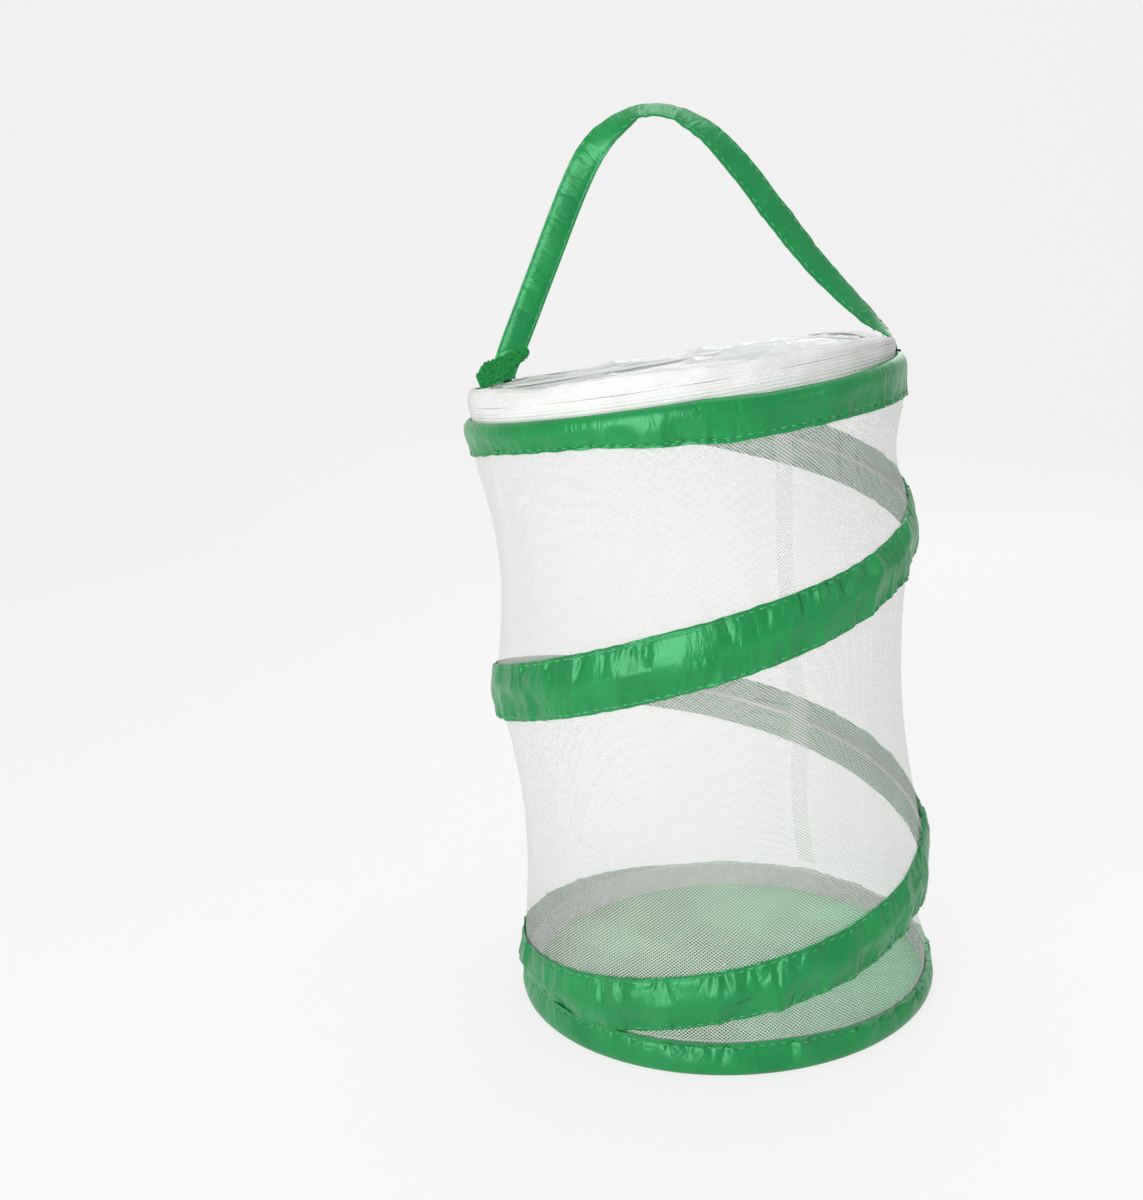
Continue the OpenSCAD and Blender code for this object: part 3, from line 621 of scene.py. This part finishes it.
z = z0 + 0.1 * wob(a, 64, 5, 18) * (z0 > 3) + press(np.degrees(a)) * np.clip(z0 / lid_top, 0, 1)
lower_tape = skin("lower_tape", rim(r * np.cos(a), r * np.sin(a), z), tape_mat, around=True, closed=True,
                  uv=(np.arange(541) * 418 / 540, walk(strip, 20)))
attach(lower_tape, "rim")
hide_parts("zip_tape_lower")
strip = np.array([(67.05, 4.27), (67.17, 4.36), (67.22, 5.0), (67.22, 5.8), (67.05, 6.5), (66.75, 7.1),
                  (66.45, 7.7), (66.15, 8.25), (65.75, 8.62), (65.2, 8.8), (64.4, 8.82), (63.2, 8.78),
                  (62, 8.76), (61, 8.7), (61, 8.42), (63, 8.25), (64.8, 8.2), (65.6, 7.7), (66.4, 6.8),
                  (66.9, 6.0), (66.92, 4.5)])
r0, z0 = strip[None, :, 0], strip[None, :, 1]
for name, node, body, sign in (("flap_tape", "lid_tape_flap", "flap", -1),
                               ("fixed_tape", "lid_tape_fixed", "rim", 1)):
    s = np.linspace(0, 1, 320 if sign < 0 else 360)[:, None]
    fold = np.arcsin((12.15 if sign < 0 else 11.85) / r0)
    a = (math.pi + fold + s * (math.pi - 2 * fold)) if sign < 0 else (-fold + s * (math.pi + 2 * fold))
    down = press(np.degrees(a))
    z = z0 + (lid_sag(np.degrees(a), r0) - down) * np.clip((z0 - 5.6) / 2.4, 0, 1)
    z = z + down * np.clip(z0 / lid_top, 0, 1)
    crinkle = 0.2 * wob(a, 62, 9, 26) + 0.1 * wob(a, 65, 40, 80)
    z += np.clip((z0 - 7) / 1.5, 0, 1) * np.clip(r0 - 62.5, 0, 1) * crinkle
    r = r0 + 0.14 * wob(a, 63, 8, 30) * np.clip((z0 - 6) / 1.5, 0, 1)
    tape = skin(name, rim(r * np.cos(a), r * np.sin(a), z), tape_mat, closed=True,
                uv=(s[:, 0] * 210, walk(strip, 30)))
    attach(tape, body)
    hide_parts(node)
strip = np.array([(66.5, 2.1), (66.45, 4.2), (66.3, 6.7), (65.8, 6.7), (65.9, 4.2), (66.0, 2.1)])
a = np.radians(np.linspace(-5.4, 138, 140))[:, None]
r0, z0 = strip[None, :, 0], strip[None, :, 1]
z = z0 * (1 + lid_sag(np.degrees(a), 66) / lid_top)
web = skin("back_web", rim(r0 * np.cos(a), r0 * np.sin(a), z), tape_mat, closed=True,
           uv=(np.linspace(0, 158, 140), np.arange(7) * 2.0))
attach(web, "rim")
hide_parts("zip_back_web")

# Zip coils: two nylon coils sewn behind the tapes, whose loops mesh where the zip is closed. Those
# on the flap lift with it.
nylon, nodes, links, shader = paint("nylon coil", (0.9, 0.9, 0.89), 0.35)
mottle(nodes, links, shader, 700, 0.3, 0.7, (0.84, 0.84, 0.83), (0.93, 0.93, 0.92))
coil_r, loop_deg = 66.1, 1.12
for name, body, node, start, stop, low, shift in (
        ("coil_lower", "rim", "zip_coil_lower", 141.4, 351.2, 2.0, 0),
        ("coil_flap", "flap", "zip_coil_flap", 190.9, 349.1, 4.0, 0.5),
        ("coil_left", "rim", "zip_coil_fixed_left", 141.4, 190.0, 4.0, 0.5),
        ("coil_right", "rim", "zip_coil_fixed_right", 349.4, 351.3, 4.0, 0)):
    at = np.radians(np.arange(start + 0.6 + shift * loop_deg, stop - 0.4, loop_deg))
    high = (low + 1.25) * (1 + press(np.degrees(at)) / lid_top)
    coil = sew(name, rim(coil_r * np.cos(at), coil_r * np.sin(at), high), rim_way(0 * at, 0 * at, 0 * at + 1),
               rim_way(-np.cos(at), -np.sin(at), 0 * at), nylon, long=3.0, thick=0.42)
    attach(coil, body)
    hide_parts(node)

# Slider, bail, pull tab and end stops: white moulded plastic with softened edges. The slider runs
# on the coils, its pull tab swings on the bail, and the stops are clamped over the coils' ends.
moulded, nodes, links, shader = paint("moulded plastic", (0.86, 0.86, 0.85), 0.3)
place, *_ = mottle(nodes, links, shader, 250, 0.3, 0.7, (0.82, 0.82, 0.81), (0.88, 0.88, 0.87))
bumpy(nodes, links, shader, grain(nodes, links, place, 3000), 0.08, 0.1)
for node, body, soft in (("slider_body", "slider", 0.3), ("slider_bail", "slider", 0.2),
                         ("pull_tab", "pull", 0.22), ("zip_stop_left", "rim", 0.2),
                         ("zip_stop_right", "rim", 0.2)):
    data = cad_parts[node].data.copy()
    data.materials.clear()
    data.materials.append(moulded)
    if node == "zip_stop_right":
        for corner in data.vertices:
            corner.co.z -= 0.0025 * min(1, max(0, (corner.co.z - 0.2075) / 0.005))
    piece = bpy.data.objects.new(node + "_moulded", data)
    bpy.context.scene.collection.objects.link(piece)
    bevel = piece.modifiers.new("soft edges", "BEVEL")
    bevel.width, bevel.segments, bevel.limit_method = soft * 0.001, 2, "ANGLE"
    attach(piece, body)
    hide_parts(node)

# Lid: clear vinyl in two pieces, one fixed behind the fold and one that lifts in front of it. The
# vinyl is creased from folding, and the flap stands up in a shallow buckle towards the right.
# The clear vinyl is drawn half-opaque and near white: painted sheen that stands in for the pale shine of the
# film and covers the shaded inside of the cage. Its mottle is the film's own uneven tone.
vinyl, nodes, links, shader = paint("clear vinyl", (0.94, 0.95, 0.94), 0.2, Alpha=0.55)
place, *_ = mottle(nodes, links, shader, 40, 0.3, 0.7, (0.88, 0.91, 0.9), (0.96, 0.97, 0.96))
bumpy(nodes, links, shader, grain(nodes, links, place, 120), 0.15, 0.4)
vinyl_r = 64.6
for name, node, tape_node, body, near, far, rows, length, area in (
        ("vinyl_flap", "lid_panel_flap", "lid_tape_flap", "flap", -64.5, -12.15, 90, 0.0525, 0.00505),
        ("vinyl_fixed", "lid_panel_fixed", "lid_tape_fixed", "rim", -11.85, 64.5, 110, 0.0766, 0.0081)):
    y = np.linspace(near, far, rows)
    half = np.sqrt(np.maximum(vinyl_r ** 2 - y ** 2, 0.3))
    s = np.linspace(-1, 1, 140)
    x, y = half[:, None] * s[None, :], y[:, None] + 0 * s[None, :]
    reach = np.hypot(x, y)
    inside = np.clip((vinyl_r - reach) / 9, 0, 1) * np.clip(np.abs(y + 12) / 8, 0, 1)
    ridge = 1 - np.abs(np.sin(0.11 * x + 0.05 * y + wob(y, 71, 0.03, 0.12, whole=False)))
    folds = 1 - np.abs(np.sin(0.06 * x - 0.13 * y + wob(x, 72, 0.03, 0.1, whole=False)))
    z = 8.05 + 0.42 * np.clip((reach - 56) / 5, 0, 1) - 0.8 * inside
    z = z + inside * (1.1 * ridge ** 3 + 0.9 * folds ** 3) + lid_sag(np.degrees(np.arctan2(y, x)), reach)
    if body == "flap":
        buckle = 4.4 * np.exp(-((x - 26) / 14) ** 2 - ((y + 46) / 11) ** 2)
        z += buckle * (0.7 + 0.5 * ridge) * np.clip((vinyl_r - reach) / 6, 0, 1)
    sheet = skin(name, rim(x, y, z), vinyl, sharp=0)
    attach(sheet, body)
    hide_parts(node)

# Hems: narrow woven white tape, one strip on each side of the fold. Each is sewn along the edge of
# its own piece of vinyl, and they part as the flap lifts.
hem_half = 54.9
for name, node, body, near in (("fold_tape", "fold_seam", "rim", -11.8),
                               ("hem_tape", "flap_hem", "flap", -15.6)):
    s, t = np.meshgrid(np.linspace(-hem_half, hem_half, 160), np.arange(6), indexing="ij")
    y = near + np.array([0, 0, 1.7, 3.4, 3.4, 1.7])[t]
    z = np.array([8.22, 8.6, 8.7, 8.6, 8.22, 8.2])[t] + 0.08 * wob(s, 81, 0.1, 0.5, whole=False)
    z = z + lid_sag(np.degrees(np.arctan2(y, s)), np.abs(s))
    hem = skin(name, rim(s, y, z), tape_mat, closed=True, uv=(np.linspace(0, 110, 160), np.arange(7) * 1.5))
    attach(hem, body)
    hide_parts(node)

# Handle: ribbon folded to a flat strap and stitched along both edges. Its left end faces the front;
# its right end turns edge-on and goes down outside the zip. Its ends are sewn down on small pads.
strap_rise, strap_half = 74, 4.5
root_l, root_r = np.array([-57.54, 15.47]), np.array([68.2, 1.5])
reach = np.linalg.norm(root_r - root_l)
way = (root_r - root_l) / reach
keys = np.array([(0.012, 0, 94), (0.035, 0.07, 96), (0.10, 0.255, 99), (0.157, 0.418, 100), (0.27, 0.738, 96),
                 (0.335, 0.885, 76), (0.40, 0.965, 50), (0.47, 1, 28), (0.545, 0.97, 30), (0.62, 0.865, 46),
                 (0.69, 0.695, 58), (0.755, 0.5, 62), (0.83, 0.285, 54), (0.90, 0.115, 42), (0.945, 0.02, 32),
                 (0.975, -0.04, 20), (0.995, -0.085, 7), (1, -0.125, 0)])


def pick(s, col):
    """Smooth curve through one column of the strap's key points: place across, height or twist."""
    n = len(keys)
    i = np.minimum(n - 2, np.floor(s).astype(int))
    f = s - i
    a, b, c, d = (keys[np.clip(i + k, 0, n - 1), col] for k in (-1, 0, 1, 2))
    return b + 0.5 * f * (c - a + f * (2 * a - 5 * b + 4 * c - d + f * (3 * (b - c) + d - a)))


def ease(x):
    """A soft step from 0 to 1."""
    x = np.clip(x, 0, 1)
    return x * x * (3 - 2 * x)


def strap_mid(s):
    """Middle of the strap in its own plane, in millimetres."""
    u = pick(s, 0)
    return np.stack([np.minimum(1, u) * reach, -4.5 * ease((u - 0.55) / 0.42), pick(s, 1) * strap_rise], 1)


def strap_place(p):
    """From the strap's own plane to the cage, in millimetres."""
    return rim(root_l[0] + p[..., 0] * way[0] - p[..., 1] * way[1],
               root_l[1] + p[..., 0] * way[1] + p[..., 1] * way[0], 10.2 + p[..., 2])


def strap_way(p):
    """A direction in the strap's own plane, turned to the cage."""
    return strap_place(p) - strap_place(0 * p)


last_key, middle = len(keys) - 1, (len(keys) - 1) / 2
s = np.linspace(0, last_key, 341)
mid = strap_mid(s)
t = strap_mid(np.minimum(last_key, s + 0.05)) - strap_mid(np.maximum(0, s - 0.05))
k = ease((mid[:, 2] + np.where(s < middle, 0, 9.3)) / 16)[:, None]
upright = np.where(s < middle, 1, -1)[:, None] * np.array([0, 0, 1])
t = k * t / np.linalg.norm(t, axis=1)[:, None] + (1 - k) * upright
t /= np.linalg.norm(t, axis=1)[:, None]
mid[0, 2], mid[-1, 2] = mid[0, 2] - 0.85, mid[-1, 2] - 0.5
b = np.cross(t, [0, 1, 0])
b /= np.linalg.norm(b, axis=1)[:, None]
q = np.radians(pick(s, 2))[:, None]
w = np.cos(q) * np.cross(b, t) + np.sin(q) * b
f = np.cross(t, w)
ring = np.array([(-0.98, 0.35), (-0.86, 0.5), (-0.8, 0.42), (-0.7, 0.62), (-0.35, 0.72), (0, 0.74),
                 (0.35, 0.72), (0.7, 0.62), (0.8, 0.42), (0.86, 0.5), (0.98, 0.35)])
ring = np.concatenate([ring, [(1, 0)], ring[::-1] * [1, -1], [(-1, 0)]])
gone = np.concatenate([[0], np.cumsum(np.linalg.norm(np.diff(mid, axis=0), axis=1))])
ripple = facets(gone[:, None], 91, 5, 0.2) + 0.1 * wob(gone, 92, 0.8, 1.8, 8, False)[:, None]
twin = facets(gone[:, None], 93, 5, 0.2) + 0.1 * wob(gone, 94, 0.8, 1.8, 8, False)[:, None]
wave = np.where(ring[None, :, 0] > 0, ripple, twin) * np.abs(ring[None, :, 0]) ** 0.7
stands = ring[None, :, 1:] + wave[:, :, None]
grid = mid[:, None] + w[:, None] * (ring[None, :, :1] * strap_half) + f[:, None] * stands
strap = skin("strap", strap_place(grid), green, closed=True,
             uv=(gone, np.append(ring[:, 0], -0.98) * strap_half))
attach(strap, "handle")
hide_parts("handle_strap")
spots, ways, outs = [], [], []
mark = np.arange(4, gone[-1] - 4, 3.2)
for place in (2, 8):
    for face in (1, -1):
        line = mid + w * (ring[place, 0] * strap_half) + f * (face * 0.42) + f * wave[:, place, None]
        spots.append(np.stack([np.interp(mark, gone, line[:, c]) for c in range(3)], 1))
        ways.append(np.stack([np.interp(mark, gone, t[:, c]) for c in range(3)], 1))
        outs.append(face * np.stack([np.interp(mark, gone, f[:, c]) for c in range(3)], 1))
spots, ways, outs = (np.concatenate(c) for c in (spots, ways, outs))
strap_thread = sew("strap_thread", strap_place(spots), strap_way(ways), strap_way(outs), thread_mat,
                   thick=0.17)
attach(strap_thread, "handle")
i, j = np.meshgrid(np.linspace(-3.5, 3.5, 16), np.arange(26), indexing="ij")
edge = np.linspace(-strap_half, strap_half, 13)
across = np.concatenate([edge, edge[::-1]])[j]
z = np.where(j < 13, 9.25 + 0.06 * wob(across, 95, 1, 3, whole=False), 8.72)
spin = math.radians(165)
x = root_l[0] + i * math.cos(spin) - across * math.sin(spin)
y = root_l[1] + i * math.sin(spin) + across * math.cos(spin)
pad_left = skin("pad_left", rim(x, y, z), green, closed=True)
a, j = np.meshgrid(np.radians(np.linspace(-6.6, 1.56, 24)), np.arange(8), indexing="ij")
r = np.array([67.05, 67.1, 67.8, 68.7, 68.95, 69.05, 68.8, 67.8])[j]
z = np.array([-0.2, 0.25, 0.36, 0.28, 0.05, -0.45, -0.55, -0.1])[j]
pad_right = skin("pad_right", rim(r * np.cos(a), r * np.sin(a), z), green, closed=True)
for pad, node in ((pad_left, "strap_pad_left"), (pad_right, "strap_pad_right")):
    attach(pad, "rim")
    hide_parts(node)

# Keeper tab: a short tapering tongue of green loop pile sewn beside the strap's left end, with a
# fuzzy face and a slight curl.
pile_mat, nodes, links, shader = paint("loop pile", (0.006, 0.27, 0.05), 0.9)
mottle(nodes, links, shader, 1400, 0.35, 0.65, (0.003, 0.17, 0.03), (0.012, 0.36, 0.075))
tip_x, tip_y, tip_r = 16.4, 0.5, 2.1
tip = [(tip_x + tip_r * math.cos(q), tip_y + tip_r * math.sin(q))
       for q in np.radians(np.linspace(-76, 66, 15))]
side_a = [(x, np.interp(x, [0, 3, 16], [-4.5, -4.5, -1.54])) for x in np.linspace(0, 16, 13)]
side_b = [(x, np.interp(x, [0, 4, 16], [0.9, 4.5, 2.42])) for x in np.linspace(16, 0, 13)]
edge = np.array(side_a + tip + side_b)
shrink = (0.02, 0.25, 0.5, 0.75, 0.93, 1.0, 1.0, 0.93, 0.5, 0.02)
rows = np.stack([edge * k + np.array([6, 0]) * (1 - k) for k in shrink], 1)
depth = np.array([0.62, 0.62, 0.62, 0.62, 0.55, 0.25, -0.25, -0.55, -0.62, -0.62])
roll_x, dip_y = math.radians(48), math.radians(-17)


def tab_place(p):
    """From the tongue's own plane, curling up a little towards its tip, to the cage, in millimetres."""
    z = p[..., 2] + 0.004 * np.maximum(0, p[..., 0] - 3) ** 2
    y = p[..., 1] * math.cos(roll_x) - z * math.sin(roll_x)
    z = p[..., 1] * math.sin(roll_x) + z * math.cos(roll_x)
    x = p[..., 0] * math.cos(dip_y) + z * math.sin(dip_y)
    z = -p[..., 0] * math.sin(dip_y) + z * math.cos(dip_y)
    return rim(-62.6 + x, -7.8 + y, 12.1 + z)


thick = np.broadcast_to(depth[None, :, None], (*rows.shape[:2], 1))
tongue = skin("tongue", tab_place(np.concatenate([rows, thick], -1)), pile_mat, around=True)
rng = np.random.default_rng(7)
spot = np.stack([rng.uniform(0.1, 18.2, 2600), rng.uniform(-4.4, 4.4, 2600)], 1)
low_edge = np.interp(spot[:, 0], [0, 3, 17, 18.4], [-4.4, -4.4, -1.4, 0.3])
top_edge = np.interp(spot[:, 0], [0, 4, 17, 18.4], [0.9, 4.4, 2.3, 0.8])
spot = spot[(spot[:, 1] > low_edge) & (spot[:, 1] < top_edge)]
face = np.where(rng.random(len(spot)) < 0.7, 1, -1)
spot = np.concatenate([spot, face[:, None] * 0.66], 1)
lean = np.concatenate([rng.normal(0, 1, (len(spot), 2)), 0.6 * face[:, None]], 1)
out = np.stack([0 * face, 0 * face, face], 1) + 0.0
root = tab_place(spot)
fuzz = sew("fuzz", root, tab_place(spot + 0.1 * lean) - root, tab_place(spot + 0.1 * out) - root, pile_mat,
           long=1.0, thick=0.12)
foot = np.array([(-63.6, 8.7), (-58.3, 8.7), (-58.3, 9.4), (-63.6, 9.5)])
y = np.linspace(-10.4, -5.5, 6)[:, None]
foot = skin("tongue_foot", rim(foot[None, :, 0] + 0 * y, y + 0 * foot[None, :, 0], foot[None, :, 1] + 0 * y),
            pile_mat, closed=True)
for piece in (tongue, fuzz, foot):
    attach(piece, "rim")
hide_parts("keeper_tab")

low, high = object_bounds()
